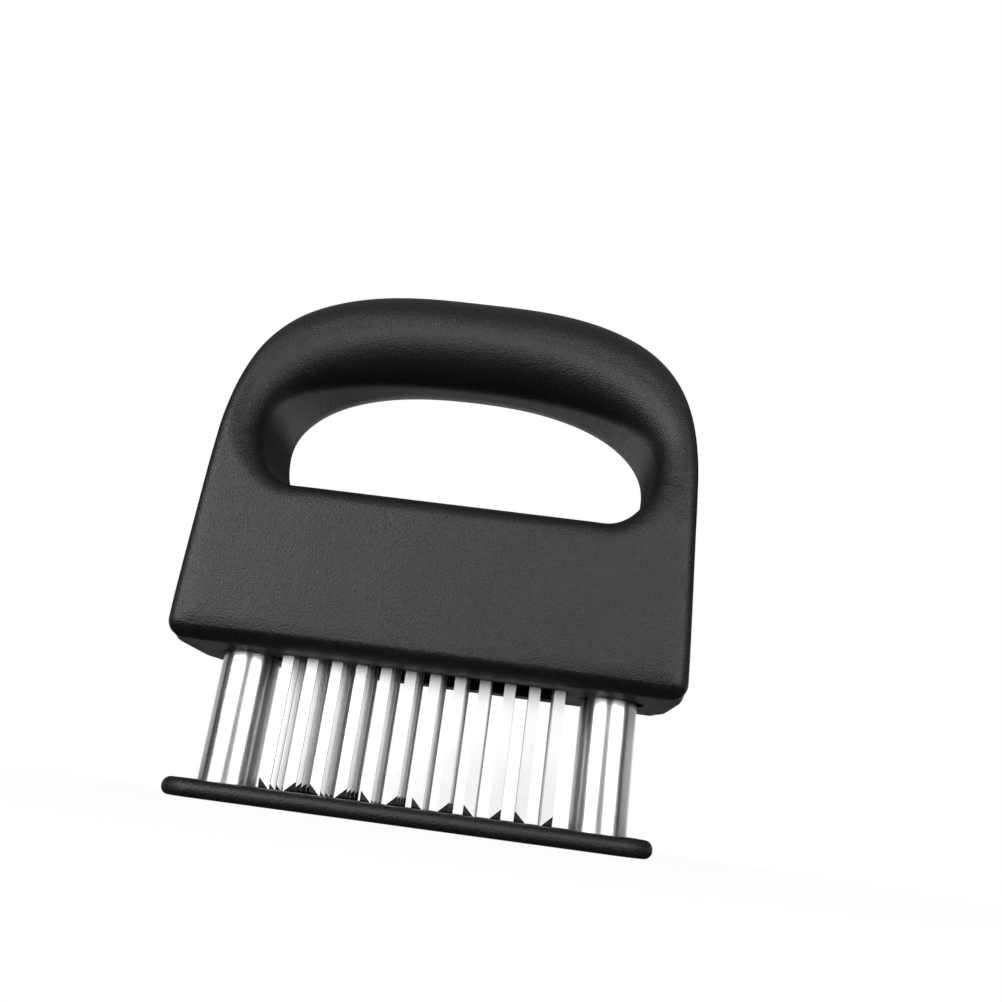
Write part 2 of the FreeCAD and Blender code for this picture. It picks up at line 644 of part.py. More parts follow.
def friction_springs():
    """Two bent leaves that press on the carriage, so that it stays where it is pushed."""
    low = CARRIAGE_TOP_Z + RUNNING_CLEARANCE
    high = low + LEAF_RISE
    half = LEAF_LENGTH / 2
    flat = LEAF_FLAT / 2
    shoulder = half - LEAF_END
    under = [(-half, high), (-shoulder, high), (-flat, low), (flat, low), (shoulder, high), (half, high)]
    outline = under + [(x, z + LEAF_THICKNESS) for x, z in reversed(under)]
    bar_middle = (CARRIER_DEPTH / 2 + CARRIAGE_WINDOW_GAP + CARRIAGE_DEPTH / 2) / 2
    leaves = []
    for side in (-1, 1):
        front = side * bar_middle - LEAF_WIDTH / 2
        points = [V(x, front, z) for x, z in outline]
        leaves.append(Part.Face(Part.makePolygon(points + points[:1])).extrude(V(0, LEAF_WIDTH, 0)))
    return Part.makeCompound(leaves)


def column(side):
    """A polished tube that carries the guard plate and slides in its bushing."""
    return tube(side * COLUMN_X, 0, COLUMN_BOTTOM_Z, COLUMN_TOP_Z, COLUMN_RADIUS, TUBE_BORE)


def column_collar(side):
    """The ring on the column's upper end that stops it on the bushing."""
    return tube(side * COLUMN_X, 0, COLLAR_Z, COLUMN_TOP_Z, COLLAR_DIAMETER / 2, COLUMN_RADIUS)


def foot_plug(side):
    """The plug in the column's lower end that takes the guard screw and seats the spring."""
    x = side * COLUMN_X
    plug = tube(x, 0, COLUMN_BOTTOM_Z, PLUG_TOP_Z, TUBE_BORE)
    return plug.cut(tube(x, 0, COLUMN_BOTTOM_Z - 1, GUARD_SCREW_TOP_Z, SCREW_RADIUS + SCREW_CLEARANCE))


def guard_screw(side, clearance=0.0):
    """A countersunk screw from below the guard plate into a foot plug, or the room for it."""
    x = side * COLUMN_X
    head_radius = SCREW_HEAD_RADIUS + clearance
    shank_radius = SCREW_RADIUS + clearance
    cone = Part.makeCone(head_radius, shank_radius, GUARD_SCREW_CONE, V(x, 0, GUARD_SCREW_SINK))
    shank = tube(x, 0, GUARD_SCREW_SINK, GUARD_SCREW_TOP_Z - clearance, shank_radius)
    screw = cone.fuse(shank)
    if clearance > 0:
        return screw.fuse(tube(x, 0, -OVERLAP, GUARD_SCREW_SINK, head_radius))
    for along, across in CROSS_ARMS:
        screw = screw.cut(box(x - along, x + along, -across, across, -1,
                              GUARD_SCREW_SINK + GUARD_CROSS_DEPTH))
    return screw


def guard_plate():
    """The flat plate at the blade tips, with a slot for each blade and round edges."""
    solid = slab(0, PLATE_THICKNESS, PLATE_LENGTH / 2, PLATE_DEPTH / 2, PLATE_CORNER)
    rim = []
    for edge in solid.Edges:
        bounds = edge.BoundBox
        if bounds.ZMax - bounds.ZMin < 0.001:
            rim.append(edge)
    solid = solid.makeFillet(PLATE_THICKNESS / 2 - PLATE_EDGE_FLAT, rim)
    cutters = []
    half_y = BLADE_THICKNESS / 2 + SLOT_CLEARANCE
    for index in range(BLADES_PER_ROW):
        x = blade_x(index)
        low = x - BLADE_WIDTH / 2 - SLOT_CLEARANCE - LOCK_TRAVEL
        high = x + BLADE_WIDTH / 2 + SLOT_CLEARANCE
        for row in range(BLADE_ROWS):
            y = row_y(row)
            cutters.append(box(low, high, y - half_y, y + half_y, -1, PLATE_THICKNESS + 1))
    for side in (-1, 1):
        cutters.append(tube(side * COLUMN_X, 0, COLUMN_BOTTOM_Z, PLATE_THICKNESS + 1, COLUMN_RADIUS))
        cutters.append(guard_screw(side, SCREW_CLEARANCE))
    return solid.cut(cutters)


def guard_screws():
    """The two screws under the guard plate."""
    return Part.makeCompound([guard_screw(side) for side in (-1, 1)])


def spring_seat(side):
    """The disc and spigot that hold the upper end of a spring."""
    x = side * COLUMN_X
    spigot = SPRING_DIAMETER / 2 - SPRING_WIRE - SPIGOT_CLEARANCE
    return tube(x, 0, SEAT_Z, SHELF_Z, SPRING_DIAMETER / 2).fuse(
        tube(x, 0, SEAT_Z - SPIGOT_HEIGHT, SEAT_Z, spigot))


def arc_from(start, tangent, end):
    """The arc that leaves start along tangent and ends at end."""
    chord = end - start
    along = V(chord).normalize()
    lean = along.dot(tangent)
    across = (tangent - along * lean).normalize()
    bulge = chord.Length / 2 * math.tan(math.acos(min(1.0, lean)) / 2)
    return Part.Arc(start, start + chord * 0.5 + across * bulge, end).toShape()


def coil_spring(side):
    """A compression spring in a column, as one wire that winds from the plug to the seat."""
    radius = (SPRING_DIAMETER - SPRING_WIRE) / 2
    low = PLUG_TOP_Z + SPRING_WIRE / 2
    high = SEAT_Z - SPRING_WIRE / 2
    quarters = 4 * SPRING_TURNS
    step = (high - low) / quarters
    rise = step / (radius * math.pi / 2)
    places = []
    for index in range(quarters + 1):
        turn = index * math.pi / 2
        point = V(side * COLUMN_X + radius * math.cos(turn), radius * math.sin(turn), low + index * step)
        places.append((point, V(-math.sin(turn), math.cos(turn), rise).normalize()))
    edges = []
    for (start, leave), (end, arrive) in zip(places, places[1:]):
        chord = end - start
        both = leave + arrive
        spread = 2 * (1 - leave.dot(arrive))
        reach = (math.sqrt(chord.dot(both) ** 2 + spread * chord.dot(chord)) - chord.dot(both)) / spread
        joint = (start + end + (leave - arrive) * reach) * 0.5
        edges.append(arc_from(start, leave, joint))
        back = arc_from(end, arrive * -1, joint)
        edges.append(Part.Arc(joint, back.valueAt((back.FirstParameter + back.LastParameter) / 2),
                              end).toShape())
    start, leave = places[0]
    profile = Part.Wire(Part.makeCircle(SPRING_WIRE / 2, start, leave))
    solid = Part.Wire(edges).makePipeShell([profile], True, False)
    gap = (high - low) / SPRING_TURNS - SPRING_WIRE
    print("coil spring gap between turns", round(gap, 2), "volume", round(solid.Volume, 2))
    return solid


def nodes():
    """Every piece of the tool, by the name of its file."""
    front_shell, back_shell = shells()
    pieces = {
        "front_shell": front_shell,
        "back_shell": back_shell,
        "shell_screws": shell_screws(),
        "blade_carrier": blade_carrier(),
        "blade_clamp_plate": blade_clamp_plate(),
        "clamp_screws": clamp_screws(),
        "blade_pins": blade_pins(),
        "lock_carriage": lock_carriage(),
        "friction_springs": friction_springs(),
        "guard_plate": guard_plate(),
        "guard_screws": guard_screws(),
    }
    for row in range(BLADE_ROWS):
        pieces["blade_row_" + str(row + 1)] = blade_row(row)
    for name, side in (("left", -1), ("right", 1)):
        pieces[name + "_column"] = column(side)
        pieces[name + "_collar"] = column_collar(side)
        pieces[name + "_foot_plug"] = foot_plug(side)
        pieces[name + "_bushing"] = bushing(side)
        pieces[name + "_spring"] = coil_spring(side)
        pieces[name + "_spring_seat"] = spring_seat(side)
    return pieces


for node, shape in nodes().items():
    shape.exportStep("parts/" + node + ".step")
    print(node, len(shape.Solids), "solids", "valid" if shape.isValid() else "NOT VALID",
          round(shape.Volume, 1))
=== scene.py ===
"""Blade meat tenderizer: looks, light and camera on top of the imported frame. Metres, row frame."""
import json
import math

import bpy
import bmesh
import numpy as np
from mathutils import Matrix, Vector
from mathutils.kdtree import KDTree


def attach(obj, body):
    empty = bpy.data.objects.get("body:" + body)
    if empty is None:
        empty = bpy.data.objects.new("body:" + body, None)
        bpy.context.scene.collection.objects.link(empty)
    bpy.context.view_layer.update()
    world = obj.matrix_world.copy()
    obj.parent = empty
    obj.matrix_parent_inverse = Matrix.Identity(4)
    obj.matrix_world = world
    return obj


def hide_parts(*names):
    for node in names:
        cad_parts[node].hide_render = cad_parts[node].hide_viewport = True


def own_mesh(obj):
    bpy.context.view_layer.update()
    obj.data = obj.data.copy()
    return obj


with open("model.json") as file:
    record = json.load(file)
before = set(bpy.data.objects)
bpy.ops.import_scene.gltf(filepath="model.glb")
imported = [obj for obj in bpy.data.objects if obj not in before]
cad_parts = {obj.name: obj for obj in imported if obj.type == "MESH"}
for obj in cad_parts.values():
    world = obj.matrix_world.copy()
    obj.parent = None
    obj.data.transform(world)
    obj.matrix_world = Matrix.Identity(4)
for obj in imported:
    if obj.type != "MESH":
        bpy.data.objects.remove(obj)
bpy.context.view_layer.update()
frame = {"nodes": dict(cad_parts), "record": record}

MM = 0.001
NODES = frame["nodes"]

# Sizes that the solids have too, in millimetres
PLATE_THICKNESS = 4.1
COLUMN_X = 45.0
COLUMN_RADIUS = 7.0
COLUMN_WALL = 0.8
COLUMN_SOCKET_DEPTH = 1.2
COLUMN_TOP_Z = 44.4
COLUMN_HOLE_CLEARANCE = 0.35
LOCK_TRAVEL = 1.2
UNDERSIDE_Z = 35.1
BLOCK_TOP_Z = 75.3
BLOCK_WIDTH_BOTTOM = 122.2
BLOCK_WIDTH_TOP = 120.6
BLOCK_DEPTH = 46.0
BLOCK_CORNER = 3.5
BLOCK_BOTTOM_ROUND = 3.7
BLOCK_BOTTOM_ROUND_DEPTH = 6.0
SIDE_BOTTOM_ROUND = 1.2
BLOCK_TOP_ROUND = 5.0
WALL = 2.2
PARTING_Y = 10.5
HANDLE_TOP_Z = 139.0
GRIP_THICKNESS = 26.0
GRIP_DEPTH = 29.0
GRIP_FLAT = 0.5
SHOULDER_START = 10.0
SHOULDER_POWER = 2.85
OPENING_WIDTH = 100.0
OPENING_WIDEST = 17.0
OPENING_FLOOR_WIDTH = 76.0
OPENING_POWER = 2.3
FOOT_X = 40.0
LEAST_ROUND = 0.6
CORNER_FADE = 8.0
EVEN_REACH = 5.0
SHOULDER_SHARE = 0.22
OPENING_TOP_Z = HANDLE_TOP_Z - GRIP_THICKNESS
FLOOR_TOP_Z = UNDERSIDE_Z + WALL
INNER_Y = BLOCK_DEPTH / 2 - WALL
HOLLOW_CORNER = 1.3
HOLLOW_HALF_WIDTH = BLOCK_WIDTH_TOP / 2 - WALL
FOOT_SHARE = 0.06
FOOT_SINK = 3.0

# Ribs inside the shells: rails for the lock carriage, ledges for the blade carrier, shelves for the
# springs, and one rib over the right collar
RIB_OVERLAP = 1.0
RIB_ROOT_Y = INNER_Y + RIB_OVERLAP
RAIL_HALF_LENGTH = 50.0
RAIL_INNER_Y = 18.1
RAIL_Z = (36.8, 40.4)
LEDGE_HALF_LENGTH = 30.0
LEDGE_FRONT_Y = -9.0
LEDGE_Z = (51.8, 54.0)
SHELF_HALF_LENGTH = 9.0
SHELF_BACK_Y = 7.0
SHELF_Z = (72.7, 74.7)
LOCK_RIB_X = (53.6, 59.8)
LOCK_RIB_HALF_DEPTH = 4.0
LOCK_RIB_Z = (44.6, 69.7)

# Openings in the underside
BLADE_GROUP_SHIFT = -0.6
BLADE_WINDOW_HALF_WIDTH = 34.65
BLADE_WINDOW_HALF_DEPTH = 11.05
BLADE_WINDOW_CORNER = 0.8
BLADE_WINDOW_FLARE = 0.5
COLUMN_HOLE_FLARE = 0.15
CUT_START_Z = 30.0
CUT_BEYOND = 0.2

# Share of the way up the handle, angle on the outer outline, angle on the outline of the opening
HANDLE_STATIONS = [
    (0.00, -90.0, -90.0),
    (0.06, -72.0, -58.0),
    (0.14, -36.0, -36.0),
    (0.22, 0.0, -18.0),
    (0.31, 4.0, 0.0),
    (0.43, 12.0, 13.0),
    (0.55, 27.0, 28.0),
    (0.68, 44.0, 44.0),
    (0.80, 59.0, 60.0),
    (0.91, 76.0, 76.0),
    (1.00, 90.0, 90.0),
]
# Share of the way up the handle, rounding of the outer edges, rounding of the inner edges
ROUND_STATIONS = [
    (0.00, 3.5, 5.0),
    (0.14, 3.5, 6.3),
    (0.22, 3.6, 7.5),
    (0.31, 4.0, 8.0),
    (0.43, 5.2, 8.4),
    (0.55, 7.0, 9.3),
    (0.68, 9.3, 10.8),
    (0.80, 11.2, 11.9),
    (0.91, 12.3, 12.6),
    (1.00, 12.75, 12.75),
]
SCREW_PLACES = [(-26.0, 124.5), (26.0, 124.5), (-25.0, 63.8), (25.0, 63.8)]
BOSS_RADIUS = 3.6
BOSS_REACH_Y = 30.0
SCREW_SEAT_Y = PARTING_Y + WALL
SCREW_LENGTH = 14.0
SCREW_RADIUS = 1.45
SCREW_HEAD_RADIUS = 2.8
SCREW_CLEARANCE = 0.05
SCREW_HEAD_CLEARANCE = 0.2
THROUGH_Y = 40.0

# The parting cut
PARTING_GAP = 0.06
CUT_HALF_WIDTH = 80.0
CUT_HALF_DEPTH = 60.0
CUT_Z = (20.0, 150.0)
CUT_SLICE = 2.0
HOLLOW_SLICE = 4.0
HOLLOW_SLICE_REACH = (62.0, 24.0)


# Mesh helpers

def new_object(name, verts, faces):
    """An object from points in millimetres."""
    mesh = bpy.data.meshes.new(name)
    mesh.from_pydata([(x * MM, y * MM, z * MM) for x, y, z in verts], [], faces)
    mesh.update()
    obj = bpy.data.objects.new(name, mesh)
    bpy.context.scene.collection.objects.link(obj)
    return obj


def from_rings(name, rings, closed=False):
    """A closed mesh through rings of equally many points. Either the last ring joins the first, or
    both ends are capped."""
    count = len(rings[0])
    verts = [tuple(point) for ring in rings for point in ring]
    faces = []
    for level in range(len(rings) if closed else len(rings) - 1):
        base = level * count
        above = (level + 1) % len(rings) * count
        for index in range(count):
            following = (index + 1) % count
            faces.append((base + index, base + following, above + following, above + index))
    if not closed:
        faces.append(tuple(reversed(range(count))))
        faces.append(tuple(range((len(rings) - 1) * count, len(rings) * count)))
    obj = new_object(name, verts, faces)
    outward(obj)
    return obj


def outward(obj):
    """Turns every face of a closed mesh to face out."""
    bm = bmesh.new()
    bm.from_mesh(obj.data)
    bmesh.ops.recalc_face_normals(bm, faces=bm.faces)
    bm.to_mesh(obj.data)
    bm.free()


def rounded_ring(half_a, half_b, radius_plus, radius_minus, steps=10):
    """A rounded rectangle as (a, b) pairs, anticlockwise, with its own radius on each side of a."""
    points = []
    corners = [(1, -1, radius_plus, -90), (1, 1, radius_plus, 0), (-1, 1, radius_minus, 90),
               (-1, -1, radius_minus, 180)]
    for sign_a, sign_b, radius, start in corners:
        centre_a = sign_a * (half_a - radius)
        centre_b = sign_b * (half_b - radius)
        for step in range(steps + 1):
            turn = math.radians(start + 90.0 * step / steps)
            points.append((centre_a + radius * math.cos(turn), centre_b + radius * math.sin(turn)))
    return points


def level_ring(z, half_x, half_y, radius, centre_x=0.0):
    """A rounded rectangle at one height."""
    return [(centre_x + a, b, z) for a, b in rounded_ring(half_x, half_y, radius, radius)]


def sliced(obj, axis, low, high, step):
    """Cuts every face along planes a step apart, so that no boolean leaves a large face with holes."""
    normal = Vector([float(k == axis) for k in range(3)])
    bm = bmesh.new()
    bm.from_mesh(obj.data)
    for place in np.arange(low + step / 3, high, step):
        bmesh.ops.bisect_plane(bm, geom=bm.verts[:] + bm.edges[:] + bm.faces[:],
                               plane_co=normal * float(place) * MM, plane_no=normal)
    bm.to_mesh(obj.data)
    bm.free()


def box_cutter(x0, x1, y0, y1, z0, z1):
    verts = [(x, y, z) for x in (x0, x1) for y in (y0, y1) for z in (z0, z1)]
    faces = [(0, 1, 3, 2), (4, 6, 7, 5), (0, 4, 5, 1), (2, 3, 7, 6), (0, 2, 6, 4), (1, 5, 7, 3)]
    obj = new_object("cutter", verts, faces)
    outward(obj)
    return obj


def rod_cutter(x, z, y0, y1, radius, steps=48):
    """A cylinder from front to back."""
    rings = []
    for y in (y0, y1):
        rings.append([(x + radius * math.cos(2 * math.pi * k / steps), y,
                       z + radius * math.sin(2 * math.pi * k / steps)) for k in range(steps)])
    return from_rings("cutter", rings)


def lathe(name, profile, steps=160, centre=(0.0, 0.0)):
    """A closed ring of revolution about an upright axis from a closed (radius, z) profile."""
    rings = []
    for k in range(steps):
        turn = 2 * math.pi * k / steps
        rings.append([(centre[0] + radius * math.cos(turn), centre[1] + radius * math.sin(turn), z)
                      for radius, z in profile])
    return from_rings(name, rings, closed=True)


def boolean(obj, cutter, operation):
    """Applies one boolean to obj and deletes the cutter."""
    mod = obj.modifiers.new("cut", "BOOLEAN")
    mod.operation = operation
    mod.solver = "MANIFOLD"
    mod.object = cutter
    apply_modifiers(obj)
    remove(cutter)


def apply_modifiers(obj):
    graph = bpy.context.evaluated_depsgraph_get()
    mesh = bpy.data.meshes.new_from_object(obj.evaluated_get(graph))
    old = obj.data
    obj.modifiers.clear()
    obj.data = mesh
    bpy.data.meshes.remove(old)


def remove(obj):
    mesh = obj.data
    bpy.data.objects.remove(obj)
    bpy.data.meshes.remove(mesh)


def smooth_shading(obj, limit_degrees=32.0):
    """Smooth shading with the sharp edges kept."""
    bm = bmesh.new()
    bm.from_mesh(obj.data)
    limit = math.radians(limit_degrees)
    for face in bm.faces:
        face.smooth = True
    for edge in bm.edges:
        edge.smooth = len(edge.link_faces) == 2 and edge.calc_face_angle() < limit
    bm.to_mesh(obj.data)
    bm.free()


# Housing form

def through(stations, share, column):
    """A smooth value between the stations of the handle."""
    places = [row[0] for row in stations]
    values = [row[column] for row in stations]
    last = len(places) - 1
    index = min(max(int(np.searchsorted(places, share)) - 1, 0), last - 1)
    rises = [(values[k + 1] - values[k]) / (places[k + 1] - places[k]) for k in range(last)]
    slopes = []
    for k in (index, index + 1):
        before = rises[max(k - 1, 0)]
        after = rises[min(k, last - 1)]
        slopes.append(2 * before * after / (before + after) if before * after > 0 else 0.0)
    width = places[index + 1] - places[index]
    t = (share - places[index]) / width
    return ((2 * t ** 3 - 3 * t ** 2 + 1) * values[index]
            + (t ** 3 - 2 * t ** 2 + t) * width * slopes[0]
            + (3 * t ** 2 - 2 * t ** 3) * values[index + 1]
            + (t ** 3 - t ** 2) * width * slopes[1])


def signed_power(value, power):
    return math.copysign(abs(value) ** power, value)


def outer_outline(angle, inset):
    """A place on the outer outline of the handle. Angles under 0 lie on the straight side."""
    half = BLOCK_WIDTH_TOP / 2 - inset
    start_z = BLOCK_TOP_Z + SHOULDER_START
    if angle <= 0:
        return Vector((half, 0, start_z - SHOULDER_START * min(1.0, -angle / 90.0)))
    turn = math.radians(angle)
    rise = HANDLE_TOP_Z - inset - start_z
    return Vector((half * signed_power(math.cos(turn), 2 / SHOULDER_POWER), 0,
                   start_z + rise * signed_power(math.sin(turn), 2 / SHOULDER_POWER)))


def inner_outline(angle, inset):
    """A place on the outline of the finger opening. Angles under 0 lie below its widest place."""
    half = OPENING_WIDTH / 2 + inset
    middle_z = BLOCK_TOP_Z + OPENING_WIDEST
    turn = math.radians(angle)
    if angle <= 0:
        floor_half = OPENING_FLOOR_WIDTH / 2 + inset
        return Vector((floor_half + (half - floor_half) * math.cos(turn), 0,
                       middle_z + OPENING_WIDEST * math.sin(turn)))
    height = OPENING_TOP_Z + inset - middle_z
    return Vector((half * signed_power(math.cos(turn), 2 / OPENING_POWER), 0,
                   middle_z + height * signed_power(math.sin(turn), 2 / OPENING_POWER)))


def ease(start, end, share):
    """A value that leaves the start and meets the end softly."""
    share = max(0.0, min(1.0, share))
    return start + (end - start) * share * share * (3 - 2 * share)


def handle_ring(outer_point, inner_point, share, inset):
    """One cross-section of the handle."""
    span = outer_point - inner_point
    half_span = span.length / 2
    middle = (outer_point + inner_point) / 2
    along = span.normalized()
    half_depth = ease(BLOCK_DEPTH, GRIP_DEPTH, share) / 2 - inset
    outer_round = through(ROUND_STATIONS, share, 1)
    room = 2 * (half_span + inset) - GRIP_FLAT - outer_round
    inner_round = min(through(ROUND_STATIONS, share, 2), room)
    outer_round = max(outer_round - inset, LEAST_ROUND)
    inner_round = max(inner_round - inset, LEAST_ROUND)
    ring = rounded_ring(half_span, half_depth, outer_round, inner_round)
    return [(middle.x + along.x * a, b, middle.z + along.z * a) for a, b in ring]


def handle_hollow(inset, steps=90):
    """The arch inside the handle, with its feet carried down into the block."""
    rings = []
    for drop in (FOOT_SINK, FOOT_SINK / 2):
        half = BLOCK_WIDTH_TOP / 2 - inset
        rings.append(handle_ring(Vector((half, 0, BLOCK_TOP_Z - drop)),
                                 Vector((FOOT_X + inset, 0, BLOCK_TOP_Z - drop)), 0.0, inset))
    for step in range(steps + 1):
        share = step / steps
        outer_angle = through(HANDLE_STATIONS, share, 1)
        inner_angle = through(HANDLE_STATIONS, share, 2)
        inner = inner_outline(inner_angle, inset)
        if share < FOOT_SHARE:
            foot = Vector((FOOT_X + inset, 0, BLOCK_TOP_Z))
            foot_end = inner_outline(through(HANDLE_STATIONS, FOOT_SHARE, 2), inset)
            inner = foot.lerp(foot_end, share / FOOT_SHARE)
        rings.append(handle_ring(outer_outline(outer_angle, inset), inner, share, inset))
    mirrored = [[(-x, y, z) for x, y, z in ring] for ring in reversed(rings[:-1])]
    return from_rings("hollow_arch", rings + mirrored)


def half_width(z):
    """Half the block's width at a height."""
    share = (z - UNDERSIDE_Z) / (BLOCK_TOP_Z - UNDERSIDE_Z)
    return (BLOCK_WIDTH_BOTTOM + (BLOCK_WIDTH_TOP - BLOCK_WIDTH_BOTTOM) * share) / 2


def bottom_corner(round_off, steps=16):
    """The outline's lower right corner."""
    centre_x = half_width(UNDERSIDE_Z + BLOCK_BOTTOM_ROUND) - round_off
    turns = [math.radians(90.0 * step / steps) for step in range(steps + 1)]
    return [(centre_x + round_off * math.cos(turn), UNDERSIDE_Z + round_off * (1 - math.sin(turn)))
            for turn in turns]


def half_loop():
    """Lines across the right half of the housing, from the crown round the opening to the middle of
    the underside. Each has its inner and outer end, the outer end at mid depth, the half depth, and
    the outer and inner roundings as (across, deep)."""
    lines = []
    even = np.linspace(0, 1, 221)
    near_shoulder = SHOULDER_SHARE + 0.03 * np.linspace(0, 1, 26)[1:-1] ** 2
    for share in sorted([*even, *near_shoulder], reverse=True):
        inner = inner_outline(through(HANDLE_STATIONS, share, 2), 0.0)
        outer = outer_outline(through(HANDLE_STATIONS, share, 1), 0.0)
        outer_round = through(ROUND_STATIONS, share, 1)
        inner_round = through(ROUND_STATIONS, share, 2)
        outer_end = (outer.x, outer.z)
        lines.append(((inner.x, inner.z), outer_end, outer_end,
                      ease(BLOCK_DEPTH, GRIP_DEPTH, share) / 2, (outer_round, outer_round),
                      (inner_round, inner_round)))
    soft = bottom_corner(BLOCK_BOTTOM_ROUND)
    tight = bottom_corner(SIDE_BOTTOM_ROUND)
    side_steps = 50
    side_top = (BLOCK_WIDTH_TOP / 2, BLOCK_TOP_Z)
    path = []
    for step in range(1, side_steps):
        share = step / side_steps
        path.append((*[tuple(a + (b - a) * share for a, b in zip(side_top, end[0]))
                       for end in (soft, tight)], 0.0))
    for step, (near, far) in enumerate(zip(soft, tight)):
        path.append((near, far, step / (len(soft) - 1)))
    bottom_steps = 60
    for step in range(1, bottom_steps + 1):
        share = 1 - step / bottom_steps
        path.append(((soft[-1][0] * share, UNDERSIDE_Z), (tight[-1][0] * share, UNDERSIDE_Z), 1.0))
    length = [0.0]
    last = side_top
    for near, far, bottom in path:
        length.append(length[-1] + math.dist(last, near))
        last = near
    for (near, far, bottom), way in zip(path, length[1:]):
        inner = (OPENING_FLOOR_WIDTH / 2 * (1 - way / length[-1]), BLOCK_TOP_Z)
        across = BLOCK_CORNER + (BLOCK_BOTTOM_ROUND - BLOCK_CORNER) * bottom
        deep = BLOCK_CORNER + (BLOCK_BOTTOM_ROUND_DEPTH - BLOCK_CORNER) * bottom
        lines.append((inner, near, far, BLOCK_DEPTH / 2, (across, deep),
                      (BLOCK_TOP_ROUND, BLOCK_TOP_ROUND)))
    return lines


def nearest(points, outline, rounds):
    """The distance from each point to an outline, and the rounding at the nearest place on it."""
    spread = np.linspace(0, 1, 24, endpoint=False)[:, None]
    following = np.roll(outline, -1, axis=0)
    following_rounds = np.roll(rounds, -1, axis=0)
    dense = (outline[:, None] * (1 - spread) + following[:, None] * spread).reshape(-1, 2)
    dense_rounds = (rounds[:, None] * (1 - spread) + following_rounds[:, None] * spread).reshape(-1, 2)
    tree = KDTree(len(dense))
    for index, (x, z) in enumerate(dense):
        tree.insert((x, 0, z), index)
    tree.balance()
    found = [tree.find((x, 0, z)) for x, z in points]
    return np.array([hit[2] for hit in found]), dense_rounds[[hit[1] for hit in found]]


def evened(values, path):
    """Values along a closed path, averaged over a short reach."""
    step = np.linalg.norm(np.roll(path, -1, axis=0) - path, axis=1)
    way = np.cumsum(step)
    apart = np.abs(way[:, None] - way)
    apart = np.minimum(apart, way[-1] - apart)
    weight = np.exp(-(apart / EVEN_REACH) ** 2) * step
    return weight @ values / weight.sum(axis=1)[:, None]


def fall_back(distance, rounds):
    """How far a rounded edge has fallen back at a distance from the outline."""
    part = np.clip(1 - distance / rounds[:, 0], 0, 1)
    return rounds[:, 1] * (1 - np.sqrt(1 - part ** 2))


def housing_outside():
    """Block and handle as one smooth skin of lines round the finger opening."""
    half = half_loop()
    mirrored = [tuple((-x, z) for x, z in line[:3]) + line[3:] for line in reversed(half[1:-1])]
    lines = half + mirrored
    inner = np.array([line[0] for line in lines])
    outer = np.array([line[1] for line in lines])
    middle = np.array([line[2] for line in lines])
    path = (inner + outer) / 2
    depth = evened(np.array([[line[3]] for line in lines]), path)[:, 0]
    outer_rounds = evened(np.array([line[4] for line in lines]), path)
    inner_rounds = evened(np.array([line[5] for line in lines]), path)
    bend = 1 - np.cos(np.radians(np.linspace(0, 90, 17)))
    flat = np.linspace(0, 1, 11)[1:-1]
    width = np.linalg.norm(outer - inner, axis=1)
    near_part = inner_rounds[:, 0] / width
    far_part = outer_rounds[:, 0] / width
    crowded = np.maximum(1.0, (near_part + far_part) / 0.97)
    near_part = near_part / crowded
    far_part = far_part / crowded
    places = np.concatenate([
        near_part[:, None] * bend,
        near_part[:, None] + (1 - near_part - far_part)[:, None] * flat,
        1 - far_part[:, None] * bend[::-1],
    ], axis=1)
    count = places.shape[1]
    points = inner[:, None] * (1 - places[:, :, None]) + outer[:, None] * places[:, :, None]
    points = points.reshape(-1, 2)
    from_inner, at_inner = nearest(points, inner, inner_rounds)
    from_outer, at_outer = nearest(points, outer, outer_rounds)
    ring = np.arange(len(points)) % count
    from_inner[ring == 0] = 0.0
    from_outer[ring == count - 1] = 0.0
    height = np.repeat(depth, count) - fall_back(from_inner, at_inner) - fall_back(from_outer, at_outer)
    points = points.reshape(len(lines), count, 2)
    height = height.reshape(len(lines), count)
    rings = []
    wall_steps = 18
    for index in range(len(lines)):
        ring = [(x, -y, z) for (x, z), y in zip(points[index], height[index])]
        edge = height[index][-1]
        for step in range(1, wall_steps):
            y = edge * (2 * step / wall_steps - 1)
            share = ease(0.0, 1.0, (edge - abs(y)) / CORNER_FADE)
            x, z = outer[index] * (1 - share) + middle[index] * share
            ring.append((x, y, z))
        ring += [(x, y, z) for (x, z), y in zip(points[index][::-1], height[index][::-1])]
        edge = height[index][0]
        for step in range(1, wall_steps):
            ring.append((*inner[index][:1], edge * (1 - 2 * step / wall_steps), inner[index][1]))
        rings.append(ring)
    return from_rings("housing_outside", rings, closed=True)


def obround_cutter(x, z0, z1, radius, reach, flare, steps=48):
    """An upright slot, opened by flare at its lower end."""
    rings = []
    for z, wide in ((z0, flare), (UNDERSIDE_Z, flare), (UNDERSIDE_Z + flare, 0.0), (z1, 0.0)):
        ring = []
        for k in range(steps + 1):
            turn = math.radians(-90 + 180.0 * k / steps)
            ring.append((x + reach + (radius + wide) * math.cos(turn),
                         (radius + wide) * math.sin(turn), z))
        for k in range(steps + 1):
            turn = math.radians(90 + 180.0 * k / steps)
            ring.append((x + (radius + wide) * math.cos(turn), (radius + wide) * math.sin(turn), z))
        rings.append(ring)
    return from_rings("cutter", rings)


